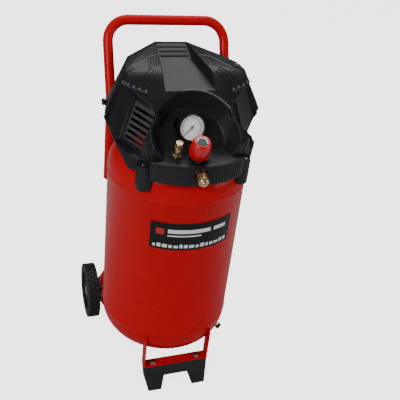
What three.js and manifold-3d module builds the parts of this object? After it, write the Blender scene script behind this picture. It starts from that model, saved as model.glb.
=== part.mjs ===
// Upright wheeled air compressor: a vertical pressure tank with a push handle, two wheels and a
// front foot, and a direct-driven oil-free piston pump under a plastic hood on top of the tank.
// Millimetres, +Z up, front towards -Y, +X to the right.
import * as THREE from "three";
import { ConvexGeometry } from "three/addons/geometries/ConvexGeometry.js";
import { mergeVertices } from "three/addons/utils/BufferGeometryUtils.js";
import Module from "manifold-3d";

const wasm = await Module();
wasm.setup();

// ---- driving dimensions ----
const gap = 0.35; // between pieces that touch
const runGap = 0.5; // round a piece that turns or slides

const tankR = 165;
const tankWall = 3;
const tankLow = 163.5; // lower end of the straight shell
const tankHigh = 576; // upper end of the straight shell
const domeH = 99.5;
const domePower = 2.24;

const handleR = 11.8;
const handleHalf = tankR - 21.3; // centre of each leg from the middle
const handleFootZ = tankHigh - 85;
const handleBendZ = tankHigh + 125;
const handleTopZ = tankHigh + 291.2;
const handleLean = 25; // degrees backwards above the bend
const handleCorner = 50; // centreline radius of the top corners

const wheelR = 78;
const wheelWidth = 33;
const wheelOuterX = tankR + 23.7;
const wheelY = tankR - 5.5;
const axleR = 6;
const bracketThick = 3;

const strapHalf = 86.4; // foot bracket
const strapDepth = 26;
const strapY = -(tankR - 27.2);
const strapTopZ = 62.5;
const footSpread = 27; // how far the foot's front face runs out towards the floor
const footTopHalf = 86;
const footBottomHalf = 77;
const footArchTopHalf = 33;
const footArchBottomHalf = 42;
const footArchZ = 34;
const boltX = 60;

const labelHalfAngle = 35.2;
const labelLow = tankHigh - 131.2;
const labelHigh = tankHigh - 58.6;

const hoodWall = 3;
const hoodBaseZ = tankHigh + 58;
const hoodBaseR = tankR - 17;
const beltZ = tankHigh + 156;
const beltR = tankR + 8;
const skirtR = tankR + 10;
const skirtLow = tankHigh + 46;
const floorZ = tankHigh + 92; // top of the console's floor
const skirtHalfAngle = 38.5;
const bossR = 19.5;
const bossCentreR = tankR - 5;
const bossLow = tankHigh + 16;
const bossTop = tankHigh + 74;
const screwCircleR = tankR + 3;
const frontBossAngle = 44;
const rearBossAngle = 148;

const scoopTilt = 45; // console recess, degrees above level
const scoopY = -(tankR - 80);
const scoopZ = tankHigh + 111;
const scoopBackR = 74;
const scoopRimR = 99;
const scoopDepth = 35;
const frontSlopeY = -(tankHigh + tankR + 81); // where the sloping front face would reach level zero
const bayAngle = 66;
const bayTilt = 20; // degrees that the bay's back leans from upright
const bayR = tankR - 39; // middle of the bay's back
const bayZ = tankHigh + 139;
const bayDepth = 31;
// Edges of the bay's back and of its mouth: inner side, outer side, bottom and top.
const bayBack = [-42, 42, -54, 46];
const bayMouth = [-62, 62, -65, 62];
const windowInset = 6;
const grilleRows = 6;
const grilleBack = 4; // how far the grille stands behind the bay's back

const regulatorX = -3;
const regulatorY = -(tankR - 28);
const regulatorZ = tankHigh + 97;
const regulatorTilt = 21;
const regulatorNeckR = 14;
const knobR = 23;
const knobLow = 8;
const knobHigh = 48;
const gaugeX = -5;
const gaugeY = -(tankR - 73);
const gaugeZ = tankHigh + 142;
const gaugeTilt = 75;
const gaugeR = 30.5;
const gaugeDepth = 26;
const valveX = -48;
const valveY = -(tankR - 35);
const valveZ = tankHigh + 97;
const valveTilt = 15;
const valveR = 8;
const valveHeight = 39;
const outletTilt = 114;
const outletY = -(tankR - 33);
const outletZ = tankHigh + 89;
const outletPipeR = 8;
const outletReach = 20;
const nutLength = 10;
const couplerLength = 39;
const sleeveR = 12;
const portPipeR = 7.6;

const shaftY = 45;
const shaftZ = tankHigh + 165;
const shaftR = 6;
const statorR = 40;
const statorLeft = -85;
const statorRight = -25;
const fanR = 38;
const crankThrow = 11;
const cylinderX = 42.5;
const pistonR = 29;
const cylinderWall = 8;
const cylinderStart = 29; // from the shaft to the near end of the cylinder
const cylinderHeight = 35;
const platformZ = tankHigh + 107; // top of the pump platform
const platformHalf = 105;
const mountHeight = 10;
const mountR = 12;
const baseThick = 4;

// ---- shapes ----
const rad = THREE.MathUtils.degToRad;

function drum(radius, height, sides = 32, topRadius = radius) {
  return new THREE.CylinderGeometry(topRadius, radius, height, sides)
    .rotateX(Math.PI / 2)
    .translate(0, 0, height / 2);
}

function block(x0, x1, y0, y1, z0, z1) {
  return new THREE.BoxGeometry(x1 - x0, y1 - y0, z1 - z0).translate(
    (x0 + x1) / 2,
    (y0 + y1) / 2,
    (z0 + z1) / 2,
  );
}

// A profile of [radius, height] points, outer side going up, turned about Z.
function turned(profile, sides = 32) {
  const points = profile.map(([r, z]) => new THREE.Vector2(r, z));
  return new THREE.LatheGeometry(points, sides).rotateX(Math.PI / 2);
}

function ring(inner, outer, height, sides = 32) {
  const section = [[inner, 0], [outer, 0], [outer, height], [inner, height], [inner, 0]];
  return turned(section, sides);
}

function plate(points, thickness) {
  const outline = new THREE.Shape(points.map(([x, y]) => new THREE.Vector2(x, y)));
  return new THREE.ExtrudeGeometry(outline, { depth: thickness, bevelEnabled: false });
}

// A plate drawn in (y, z) and given its thickness from x0 to x1.
function sidePlate(points, x0, x1) {
  return plate(points, x1 - x0)
    .rotateX(Math.PI / 2)
    .rotateZ(Math.PI / 2)
    .translate(x0, 0, 0);
}

// A round bar along a curve.
function bar(curve, radius, steps, sides = 10) {
  const outline = new THREE.Shape().absarc(0, 0, radius, 0, 2 * Math.PI, false);
  return new THREE.ExtrudeGeometry(outline, {
    curveSegments: sides / 2,
    steps,
    bevelEnabled: false,
    extrudePath: curve,
  });
}

// The same shape about the x axis.
const acrossX = (geometry) => geometry.rotateY(Math.PI / 2);
const at = (geometry, x, y, z) => geometry.translate(x, y, z);
const leaned = (geometry, tilt, x, y, z) => geometry.rotateX(rad(tilt)).translate(x, y, z);

// A point at an angle from the front, at a radius from the tank's axis.
const polar = (angle, radius, z) =>
  new THREE.Vector3(radius * Math.sin(rad(angle)), -radius * Math.cos(rad(angle)), z);

function solid(geometry) {
  const plain = geometry.clone();
  plain.deleteAttribute("normal");
  plain.deleteAttribute("uv");
  const merged = mergeVertices(plain, 1e-3);
  const mesh = { numProp: 3, vertProperties: merged.attributes.position.array };
  mesh.triVerts = new Uint32Array(merged.index.array);
  return new wasm.Manifold(new wasm.Mesh(mesh));
}

function geometryOf(body) {
  const mesh = body.getMesh();
  return new THREE.BufferGeometry()
    .setAttribute("position", new THREE.BufferAttribute(mesh.vertProperties, 3))
    .setIndex(new THREE.BufferAttribute(mesh.triVerts, 1));
}

const joined = (...shapes) => shapes.map(solid).reduce((a, b) => a.add(b));
const cut = (body, ...tools) => tools.map(solid).reduce((a, b) => a.subtract(b), body);

// ---- finishes ----
const finish = (color, roughness, metalness) =>
  new THREE.MeshStandardMaterial({ color, roughness, metalness });
const redPaint = finish("#b81d24", 0.25, 0.1);
const blackPlastic = finish("#26262a", 0.5, 0);
const blackRubber = finish("#1d1d1f", 0.8, 0);
const greyPlastic = finish("#3a3c40", 0.5, 0);
const zinc = finish("#b9bcc2", 0.35, 0.9);
const brass = finish("#c9a66b", 0.3, 0.9);
const steel = finish("#8d9096", 0.35, 0.9);
const aluminium = finish("#b4b7bb", 0.45, 0.8);
const copper = finish("#b06a3c", 0.35, 0.9);
const redPlastic = finish("#c3202a", 0.35, 0);
const dialWhite = finish("#f2f2f0", 0.6, 0);
const clear = finish("#dfe8ee", 0.1, 0);
const label = finish("#141416", 0.3, 0);

const assembly = new THREE.Group();
// The floor point under the middle of the whole machine is the origin.
const outletLength = outletReach + nutLength + couplerLength + 2 * gap;
const couplerTipY = outletY - outletLength * Math.sin(rad(outletTilt));
const couplerFrontY = couplerTipY - 7 * Math.abs(Math.cos(rad(outletTilt)));
assembly.position.y = -(wheelY + wheelR + couplerFrontY) / 2;

function add(group, name, shape, material) {
  const geometry = shape.isBufferGeometry ? shape : geometryOf(shape);
  const mesh = new THREE.Mesh(geometry, material);
  mesh.name = name;
  group.add(mesh);
  return mesh;
}

function group(x, y, z, tilt = 0) {
  const made = new THREE.Group();
  made.position.set(x, y, z);
  made.rotation.x = rad(tilt);
  assembly.add(made);
  return made;
}

// ---- tank ----
// Height of the dome's surface over the straight shell's end, at a radius from the axis.
const domeRise = (r, grow = 0) =>
  (domeH + grow) * (1 - (r / (tankR + grow)) ** domePower) ** (1 / domePower);

function tankProfile(grow, rings) {
  const half = Array.from({ length: rings + 1 }, (_, i) => {
    const t = (i / rings) * (Math.PI / 2);
    const r = (tankR + grow) * Math.sin(t) ** (2 / domePower);
    return [i ? r : 0, (domeH + grow) * Math.cos(t) ** (2 / domePower)];
  });
  const lower = half.map(([r, h]) => [r, tankLow - h]);
  const upper = half.map(([r, h]) => [r, tankHigh + h]).reverse();
  return [...lower, ...upper];
}

const tankSides = 36;
const tankBody = (grow, rings = 6) => turned(tankProfile(grow, rings), tankSides);
const clearOfTank = (body, extra = gap) => cut(body, tankBody(extra));

const switchPort = polar(-102.5, tankR - 27.7, 0);
const checkPort = polar(185, tankR - 30, 0);
const drainAngle = 60;
const drainTilt = 128;
const drainPort = polar(drainAngle, tankR - 18, tankLow - 52.5);

const outletPort = new THREE.Vector3(regulatorX, -(tankR - 45), 0);

function bossPlaces() {
  return [-frontBossAngle, frontBossAngle, -rearBossAngle, rearBossAngle];
}

function tank() {
  const lugTop = tankHigh + 46;
  const lugs = bossPlaces().map((angle) => {
    const lug = block(-7, 7, -(screwCircleR + 3.5), -(tankR - 15), tankHigh + 6, lugTop);
    return lug.rotateZ(rad(angle));
  });
  const screwHoles = bossPlaces().map((angle) =>
    at(drum(2.8, 16, 12), ...polar(angle, screwCircleR, lugTop - 10)),
  );
  const ports = [
    at(drum(portPipeR + 0.4, 60, 16), outletPort.x, outletPort.y, tankHigh + 44),
    at(drum(5.4, 60, 16), switchPort.x, switchPort.y, tankHigh + 34),
    at(drum(portPipeR + 0.4, 60, 16), checkPort.x, checkPort.y, tankHigh + 34),
    at(
      drum(5.4, 40, 16).translate(0, 0, -20).rotateX(rad(drainTilt)).rotateZ(rad(drainAngle)),
      ...drainPort,
    ),
  ];
  const body = joined(tankBody(0), ...lugs).subtract(solid(tankBody(-tankWall, 5)));
  add(assembly, "tank_shell", cut(body, ...ports, ...screwHoles), redPaint);

  const inner = tankR + gap;
  const outline = new THREE.Shape();
  const from = rad(270 - labelHalfAngle);
  const to = rad(270 + labelHalfAngle);
  outline.absarc(0, 0, inner + 0.5, from, to, false);
  outline.absarc(0, 0, inner, to, from, true);
  const strip = new THREE.ExtrudeGeometry(outline, {
    depth: labelHigh - labelLow,
    bevelEnabled: false,
    curveSegments: 16,
  });
  add(assembly, "label_plate", at(strip, 0, 0, labelLow), label);
}

// ---- handle ----
const legRadial = tankR + gap + handleR;
const legY = Math.sqrt(legRadial ** 2 - handleHalf ** 2);
const leanRun = Math.tan(rad(handleLean));

function handlePath() {
  const lean = new THREE.Vector3(0, Math.sin(rad(handleLean)), Math.cos(rad(handleLean)));
  const side = [
    new THREE.Vector3(handleHalf, legY, handleFootZ),
    new THREE.Vector3(handleHalf, legY, handleBendZ - 18),
  ];
  const topY = legY + (handleTopZ - handleBendZ) * leanRun;
  const corner = new THREE.Vector3(handleHalf, topY, handleTopZ);
  const bend = new THREE.Vector3(handleHalf, legY, handleBendZ);
  const afterBend = bend.clone().addScaledVector(lean, 18);
  const beforeCorner = corner.clone().addScaledVector(lean, -handleCorner);
  const afterCorner = corner.clone().setX(handleHalf - handleCorner);
  const mirrored = (p) => new THREE.Vector3(-p.x, p.y, p.z);
  const k = 0.45; // how far the corner's control points stay from the sharp corner
  const path = new THREE.CurvePath();
  const control = (p) => p.clone().lerp(corner, 1 - k);
  path.add(new THREE.LineCurve3(side[0], side[1]));
  path.add(new THREE.QuadraticBezierCurve3(side[1], bend, afterBend));
  path.add(new THREE.LineCurve3(afterBend, beforeCorner));
  path.add(
    new THREE.CubicBezierCurve3(beforeCorner, control(beforeCorner), control(afterCorner), afterCorner),
  );
  path.add(new THREE.LineCurve3(afterCorner, mirrored(afterCorner)));
  path.add(
    new THREE.CubicBezierCurve3(
      mirrored(afterCorner),
      mirrored(control(afterCorner)),
      mirrored(control(beforeCorner)),
      mirrored(beforeCorner),
    ),
  );
  path.add(new THREE.LineCurve3(mirrored(beforeCorner), mirrored(afterBend)));
  path.add(new THREE.QuadraticBezierCurve3(mirrored(afterBend), mirrored(bend), mirrored(side[1])));
  path.add(new THREE.LineCurve3(mirrored(side[1]), mirrored(side[0])));
  return path;
}

// ---- wheels and axle ----
function undercarriage() {
  const axle = group(0, wheelY, wheelR);
  const axleHalf = wheelOuterX - 2;
  add(axle, "axle_rod", acrossX(at(drum(axleR, 2 * axleHalf, 20), 0, 0, -axleHalf)), steel);

  const innerX = wheelOuterX - wheelWidth;
  for (const [side, name] of [[-1, "left"], [1, "right"]]) {
    const hubR = wheelR * 0.68;
    const hubLow = 4;
    const hubHigh = wheelWidth - 9;
    const tyreProfile = [
      [hubR + gap, 3], [hubR + 6, 1], [wheelR - 5, 0], [wheelR, 5],
      [wheelR, wheelWidth - 5], [wheelR - 5, wheelWidth], [hubR + 6, wheelWidth - 1],
      [hubR + gap, wheelWidth - 3], [hubR + gap, 3],
    ];
    const hubProfile = [
      [axleR + runGap, hubLow], [hubR, hubLow], [hubR, hubHigh],
      [axleR + 9, hubHigh], [axleR + 9, hubHigh + 2], [axleR + runGap, hubHigh + 2],
      [axleR + runGap, hubLow],
    ];
    const onAxle = (shape, start) => {
      const turnedShape = acrossX(at(shape, 0, 0, innerX + start));
      return side > 0 ? turnedShape : turnedShape.rotateZ(Math.PI);
    };
    add(axle, "wheel_tyre_" + name, onAxle(turned(tyreProfile, 36), 0), blackRubber);
    add(axle, "wheel_hub_" + name, onAxle(turned(hubProfile, 36), 0), greyPlastic);
    const nutStart = hubHigh + 2 + gap;
    add(axle, "axle_clip_" + name, onAxle(ring(axleR + gap, axleR + 6, 3, 20), nutStart), zinc);

    // Side plate between the tank and the axle, welded to both.
    const outline = [
      [40, 205], [88, 205], [wheelY + 18, 100], [wheelY + 18, 62], [wheelY - 22, 55], [30, 112],
    ];
    const x0 = innerX - 5 - bracketThick;
    const bracketX = side > 0 ? [x0, x0 + bracketThick] : [-x0 - bracketThick, -x0];
    const sheet = solid(sidePlate(outline, ...bracketX));
    const axleHole = acrossX(drum(axleR + gap, 40, 20)).translate(side * x0 - 20, wheelY, wheelR);
    const shaped = clearOfTank(cut(sheet, axleHole));
    add(assembly, "wheel_bracket_" + name, shaped, redPaint);
  }
}

// ---- front foot ----
const footBackY = strapY + strapDepth / 2;
const footFrontY = strapY - strapDepth / 2;
const strapThick = 3;

function foot() {
  const legTop = tankLow - 5;
  const low = strapTopZ - strapThick;
  const front = footFrontY;
  const back = footBackY;
  const strap = joined(
    block(-strapHalf, strapHalf, front, back, low, strapTopZ),
    block(-strapHalf, -strapHalf + strapThick, front, back, low, legTop),
    block(strapHalf - strapThick, strapHalf, front, back, low, legTop),
  );
  const boltHoles = [-boltX, boltX].map((x) => at(drum(4.5, 20, 16), x, strapY, low - 8));
  add(assembly, "foot_bracket", clearOfTank(cut(strap, ...boltHoles)), redPaint);

  const top = low - gap;
  const corners = [];
  for (const side of [-1, 1]) {
    corners.push(new THREE.Vector3(side * footBottomHalf, front - footSpread, 0));
    corners.push(new THREE.Vector3(side * footBottomHalf, back + 8, 0));
    corners.push(new THREE.Vector3(side * footTopHalf, front, top));
    corners.push(new THREE.Vector3(side * footTopHalf, back, top));
  }
  const archOutline = [
    [-footArchBottomHalf, -1], [footArchBottomHalf, -1], [footArchTopHalf, footArchZ],
    [-footArchTopHalf, footArchZ],
  ];
  const arch = plate(archOutline, 120).rotateX(Math.PI / 2).translate(0, footBackY + 40, 0);
  const shankHoles = [-boltX, boltX].map((x) => at(drum(4.5, 30, 16), x, strapY, top - 24));
  const pad = cut(solid(new ConvexGeometry(corners)), arch, ...shankHoles);
  add(assembly, "rubber_foot", pad, blackRubber);

  [-boltX, boltX].forEach((x, i) => {
    const bolt = joined(drum(8, 5.5, 6), drum(9, 1.4, 20), at(drum(4, 22, 12), 0, 0, -21));
    const mesh = add(assembly, "foot_bolt_" + ["left", "right"][i], bolt, zinc);
    mesh.position.set(x, strapY, strapTopZ + gap);
  });
}

// ---- drain valve ----
function drain() {
  const place = new THREE.Group();
  place.position.copy(drainPort);
  place.rotation.order = "ZXY";
  place.rotation.z = rad(drainAngle);
  place.rotation.x = rad(drainTilt);
  assembly.add(place);
  const stub = joined(at(drum(5, 12, 16), 0, 0, -10), at(drum(7, 10, 6), 0, 0, 2));
  add(place, "drain_valve_body", stub, brass);
  add(place, "drain_knob", at(drum(8.5, 8, 16), 0, 0, 12 + gap), blackPlastic);
}

// ---- hood ----
// Corner points of the hood's faceted outer shape on one side, as [x, y, height over the tank's
// straight shell], drawn for a belt of this radius.
const drawnBeltR = 173;
const spread = beltR / drawnBeltR;
const hoodCorners = [
  [63, -57, 195], [103, -24, 201], [150, 15, 212], [137, 0, 239], [128, 44, 241],
  [115, 83, 239], [78, 121, 241], [38, 137, 255], [184, -20, 146], [164, -64, 119],
  [148, -86, 84], [141, -92, 50],
];

function hoodHull(inset) {
  const points = [];
  const shrink = 1 - inset / beltR;
  const put = (x, y, z) => points.push(new THREE.Vector3(x * shrink, y * shrink, z - inset));
  const below = inset ? 14 : 0; // the hollow runs out through the open underside
  const baseSlope = (beltR - hoodBaseR) / (beltZ - hoodBaseZ);
  for (let angle = 0; angle < 360; angle += 15) {
    const base = polar(angle, hoodBaseR - below * baseSlope, hoodBaseZ - below + inset);
    const belt = polar(angle, beltR, beltZ);
    put(base.x, base.y, base.z);
    put(belt.x, belt.y, belt.z);
  }
  for (const [x, y, height] of hoodCorners) {
    put(x * spread, y * spread, tankHigh + height);
    put(-x * spread, y * spread, tankHigh + height);
  }
  return new ConvexGeometry(points);
}

// The convex body round a set of [x, y, z] corners, grown on every side.
function grown(corners, grow) {
  const reach = grow ? [-grow, grow] : [0];
  const points = corners.flatMap(([x, y, z]) =>
    reach.flatMap((a) => reach.flatMap((b) => reach.map((c) => new THREE.Vector3(x + a, y + b, z + c)))),
  );
  return solid(new ConvexGeometry(points));
}

// Solids that shape the hollows seen from outside, each grown by the wall for the hood's inside.
function scoop(grow) {
  const profile = [
    [0, -grow], [scoopBackR + grow, -grow], [scoopRimR + grow, scoopDepth],
    [scoopRimR + 34 + grow, scoopDepth + 85], [0, scoopDepth + 85],
  ];
  const cone = solid(leaned(turned(profile, 28), 90 - scoopTilt, 0, scoopY, scoopZ));
  return cone.subtract(solid(block(-300, 300, -300, 100, 400, floorZ - grow)));
}

// Everything in front of the sloping front face, above the console's floor.
function frontSlope(grow) {
  const low = floorZ - grow;
  const back = frontSlopeY + grow;
  const roof = tankHigh + 324; // over the whole hood
  const outline = [[back + low, low], [back + roof, roof], [-roof, roof], [-roof, low]];
  return solid(sidePlate(outline, -135, 135));
}

function valley(grow) {
  const corners = [
    [62, -70, 201], [40, 84, 227], [37, 138, 255], [37, 138, 364], [80, -70, 364],
  ].map(([x, y, height]) => [x * spread, y * spread, tankHigh + height]);
  return grown(corners.flatMap(([x, y, z]) => [[x, y, z], [-x, y, z]]), grow);
}

// A shape drawn in the bay's own axes (outwards, across and up), placed on one side.
function bayPlace(shape, side) {
  return shape
    .rotateY(rad(-bayTilt))
    .translate(bayR, 0, bayZ)
    .rotateZ(side * rad(bayAngle) - Math.PI / 2);
}

function bay(side, grow) {
  const corners = [];
  for (const [out, [inner, outer, bottom, top]] of [[0, bayBack], [bayDepth, bayMouth], [160, bayMouth]]) {
    for (const across of [inner, outer]) {
      for (const up of [bottom, top]) corners.push([out - grow, across, up]);
    }
  }
  const points = corners.map(([out, across, up]) => new THREE.Vector3(
    out,
    side * (across + grow * Math.sign(across)),
    up + grow * Math.sign(up),
  ));
  return solid(bayPlace(new ConvexGeometry(points), side));
}

// A block in the bay's axes: how far out, and how far inside the bay's back edges.
function bayBlock(side, out0, out1, inset, bottom = bayBack[2] + inset, top = bayBack[3] - inset) {
  const across = [side * (bayBack[0] + inset), side * (bayBack[1] - inset)].sort((a, b) => a - b);
  return bayPlace(block(out0, out1, ...across, bottom, top), side);
}

// Room round each handle leg, upright and then leaning.
function legRoom(side, grow) {
  const r = handleR + 2.5 + grow;
  const upright = at(drum(r, 220, 16), side * handleHalf, legY, handleBendZ - 220);
  const leaning = leaned(drum(r, 200, 16), -handleLean, side * handleHalf, legY, handleBendZ);
  return solid(upright).add(solid(leaning));
}

function pie(radius, halfAngle, low, high) {
  const outline = new THREE.Shape();
  outline.moveTo(0, 0);
  outline.absarc(0, 0, radius, rad(270 - halfAngle), rad(270 + halfAngle), false);
  const body = new THREE.ExtrudeGeometry(outline, {
    depth: high - low,
    bevelEnabled: false,
    curveSegments: 10,
  });
  return solid(at(body, 0, 0, low));
}

function hood() {
  const shaped = (inset) => {
    let body = solid(hoodHull(inset)).subtract(frontSlope(inset)).subtract(valley(inset));
    for (const side of [-1, 1]) {
      body = body.subtract(bay(side, inset)).subtract(legRoom(side, inset));
    }
    const skirt = pie(skirtR - inset, skirtHalfAngle, skirtLow - inset, floorZ - inset);
    return body.add(skirt).subtract(scoop(inset));
  };
  let shell = shaped(0);
  for (const angle of bossPlaces()) {
    const boss = drum(bossR, bossTop - bossLow, 18);
    shell = shell.add(solid(at(boss, ...polar(angle, bossCentreR, bossLow))));
  }
  shell = shell.subtract(shaped(hoodWall));
  for (const angle of bossPlaces()) {
    const place = polar(angle, bossCentreR, bossLow - 1);
    const bossHollow = drum(bossR - hoodWall, bossTop - bossLow - 4, 18);
    const screwHole = drum(3.2, 30, 12);
    shell = shell.subtract(solid(at(bossHollow, ...place)));
    shell = shell.subtract(solid(at(screwHole, ...polar(angle, screwCircleR, bossTop - 15))));
  }
  for (const side of [-1, 1]) {
    shell = shell.subtract(solid(bayBlock(side, -hoodWall - 6, 6, windowInset)));
  }
  const room = [
    leaned(drum(gaugeR + runGap, 50).translate(0, 0, -40), gaugeTilt, gaugeX, gaugeY, gaugeZ),
    leaned(
      drum(regulatorNeckR + 2, 30).translate(0, 0, -22),
      regulatorTilt,
      regulatorX,
      regulatorY,
      regulatorZ,
    ),
    leaned(drum(valveR + 1.5, 30).translate(0, 0, -15), valveTilt, valveX, valveY, valveZ),
    leaned(drum(sleeveR + 3, 70), outletTilt, regulatorX, outletY, outletZ),
    switchKnobPlace(drum(10, 40, 20).translate(0, 0, -22)),
    glandPlace(drum(glandR + gap, 60, 20).translate(0, 0, -30)),
  ];
  const outer = cut(clearOfTank(shell), ...room);
  const largest = outer.decompose().sort((a, b) => b.volume() - a.volume())[0];
  add(assembly, "hood_shell", largest, blackPlastic);

  for (const [side, name] of [[-1, "left"], [1, "right"]]) {
    const back = -grilleBack;
    const panel = solid(bayBlock(side, back - 3, back, 2));
    const slots = [];
    const low = bayBack[2] + windowInset + 4;
    const pitch = (bayBack[3] - windowInset - 4 - low) / grilleRows;
    for (let i = 0; i < grilleRows; i++) {
      const bottom = low + i * pitch;
      slots.push(bayBlock(side, back - 5, back + 2, windowInset + 4, bottom, bottom + pitch * 0.5));
    }
    const inside = hoodWall + gap;
    const fitted = panel
      .intersect(solid(hoodHull(inside)))
      .subtract(scoop(inside))
      .subtract(frontSlope(inside))
      .subtract(valley(inside));
    add(assembly, "vent_grille_" + name, cut(fitted, ...slots), greyPlastic);
  }

  const names = ["front_left", "front_right", "rear_left", "rear_right"];
  bossPlaces().forEach((angle, i) => {
    const screw = joined(drum(5, 3.4, 16), at(drum(2.4, 34, 12), 0, 0, -33));
    const mesh = add(assembly, "hood_screw_" + names[i], screw, zinc);
    mesh.position.copy(polar(angle, screwCircleR, bossTop + gap));
  });
}

// ---- console: regulator, gauge, safety valve, outlet ----
function controlPanel() {
  const neckAt = (shape) => leaned(shape, regulatorTilt, regulatorX, regulatorY, regulatorZ);
  const outletAt = (shape) => leaned(shape, outletTilt, regulatorX, outletY, outletZ);
  const sidePipe = at(acrossX(drum(5, regulatorX - valveX, 14)), valveX, valveY, valveZ - 15);
  const valveSeat = leaned(drum(7, 10, 16).translate(0, 0, -15), valveTilt, valveX, valveY, valveZ);
  const body = joined(
    neckAt(at(drum(regulatorNeckR, 30), 0, 0, knobLow - gap - 30)),
    outletAt(drum(outletPipeR, outletReach, 20)),
    sidePipe,
    valveSeat,
  );
  const pipe = at(drum(portPipeR, 30, 16), outletPort.x, outletPort.y, tankHigh + 58);
  add(assembly, "regulator_body", clearOfTank(body).add(solid(pipe)), blackPlastic);

  const regulator = group(regulatorX, regulatorY, regulatorZ, regulatorTilt);
  const capR = 12.5;
  const knobProfile = [
    [0, knobLow], [knobR - 1, knobLow], [knobR, knobLow + 3], [knobR, knobLow + 16],
    [knobR - 3.5, knobHigh - 2], [knobR - 5, knobHigh], [capR, knobHigh], [capR, knobHigh - 2.5],
    [0, knobHigh - 2.5],
  ];
  add(regulator, "regulator_knob", turned(knobProfile, 36), redPlastic);
  add(regulator, "knob_cap", at(drum(capR - gap, 1.8, 28), 0, 0, knobHigh - 2.5 + gap), blackPlastic);

  const gauge = group(gaugeX, gaugeY, gaugeZ, gaugeTilt);
  const wall = 2;
  const innerR = gaugeR - wall;
  const caseProfile = [
    [0, -gaugeDepth - 8], [6, -gaugeDepth - 8], [6, -gaugeDepth], [gaugeR, -gaugeDepth],
    [gaugeR, 0], [innerR, 0], [innerR, wall - gaugeDepth], [0, wall - gaugeDepth],
  ];
  add(gauge, "gauge_case", turned(caseProfile, 36), blackPlastic);
  const dialR = innerR - gap;
  add(gauge, "gauge_dial", at(ring(1.6, dialR, 1, 36), 0, 0, -8), dialWhite);
  const pointer = plate([[-1, -7], [1, -7], [0.5, 22], [-0.5, 22]], 0.8);
  pointer.rotateZ(rad(135)).translate(0, 0, -6.2);
  const needle = joined(pointer, at(drum(3, 1.6, 16), 0, 0, -6.4), at(drum(1, 8, 10), 0, 0, -13));
  add(gauge, "gauge_needle", needle, blackPlastic);
  add(gauge, "gauge_lens", at(drum(dialR, 1.5, 36), 0, 0, -3), clear);

  const valve = group(valveX, valveY, valveZ, valveTilt);
  const bodyTop = valveHeight - 12;
  const valveBody = joined(
    at(drum(7.8, 8, 6), 0, 0, -4),
    at(drum(6.8, bodyTop - 4, 20), 0, 0, 4),
    at(drum(valveR, 4, 20), 0, 0, bodyTop - 4),
  );
  const bore = at(drum(3.2, 20, 16), 0, 0, bodyTop - 12);
  add(valve, "safety_valve_body", cut(valveBody, bore), brass);
  const pull = joined(
    at(drum(2.6, 12, 12), 0, 0, bodyTop - 10),
    at(drum(6.2, valveHeight - bodyTop - gap - 1, 20), 0, 0, bodyTop + gap),
    at(ring(4.5, 7.5, 2, 20), 0, 0, valveHeight - 3),
    at(drum(5, 2, 20), 0, 0, valveHeight - 3),
  );
  add(valve, "safety_valve_pull", pull, brass);

  const outlet = group(regulatorX, outletY, outletZ, outletTilt);
  const nutStart = outletReach + gap;
  add(outlet, "outlet_nut", at(drum(11, nutLength, 6), 0, 0, nutStart), zinc);
  const start = nutStart + nutLength + gap;
  const end = start + couplerLength;
  const coupler = [
    [0, start], [9.5, start], [9.5, start + 6], [7.8, start + 6], [7.8, end - 3], [7, end],
    [4, end], [4, end - 26], [0, end - 26],
  ];
  add(outlet, "coupler_body", turned(coupler, 28), brass);
  const sleeveStart = start + 12;
  const sleeve = [
    [7.8 + gap, sleeveStart], [sleeveR - 1.5, sleeveStart], [sleeveR, sleeveStart + 3],
    [sleeveR, sleeveStart + 20], [sleeveR - 2, sleeveStart + 24], [7.8 + gap, sleeveStart + 24],
    [7.8 + gap, sleeveStart],
  ];
  add(outlet, "coupler_sleeve", turned(sleeve, 28), brass);
}

// ---- pressure switch, cable gland, check valve ----
const switchX = -(tankR - 24);
const switchY = 36;
const switchZ = tankHigh + 152;
const knobReach = 22;
const switchKnobPlace = (shape) =>
  shape.rotateY(-Math.PI / 2).translate(switchX - knobReach, switchY, switchZ);
const glandAngle = -160;
const glandZ = tankHigh + 96;
const glandR = 9;
const glandPlace = (shape) =>
  shape
    .rotateX(Math.PI / 2)
    .rotateZ(rad(glandAngle))
    .translate(...polar(glandAngle, tankR - 9, glandZ));

function controls() {
  const box = joined(
    block(switchX - 8, switchX + 12, switchY - 22, switchY + 22, switchZ - 30, switchZ + 18),
    at(drum(5, 90, 14), switchPort.x, switchPort.y, tankHigh + 46),
  );
  add(assembly, "pressure_switch", box, blackPlastic);
  const stem = drum(4.5, 24, 16).translate(0, 0, -13);
  const button = drum(8, 7, 20).translate(0, 0, 8);
  const knob = joined(switchKnobPlace(stem), switchKnobPlace(button));
  add(assembly, "power_knob", knob, blackPlastic);

  const gland = [
    [5, -14], [glandR, -14], [glandR, 6], [glandR + 4, 6], [glandR + 4, 10], [glandR - 1, 12],
    [glandR - 3, 24], [5, 24], [5, -14],
  ];
  add(assembly, "cable_gland", glandPlace(turned(gland, 20)), blackRubber);

  const valveTop = tankHigh + 96;
  const valve = joined(
    at(drum(portPipeR, 50, 16), checkPort.x, checkPort.y, tankHigh + 52),
  );
  const hexBody = clearOfTank(solid(at(drum(12, 24, 6), checkPort.x, checkPort.y, valveTop - 24)));
  add(assembly, "check_valve", valve.add(hexBody), brass);
}

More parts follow.
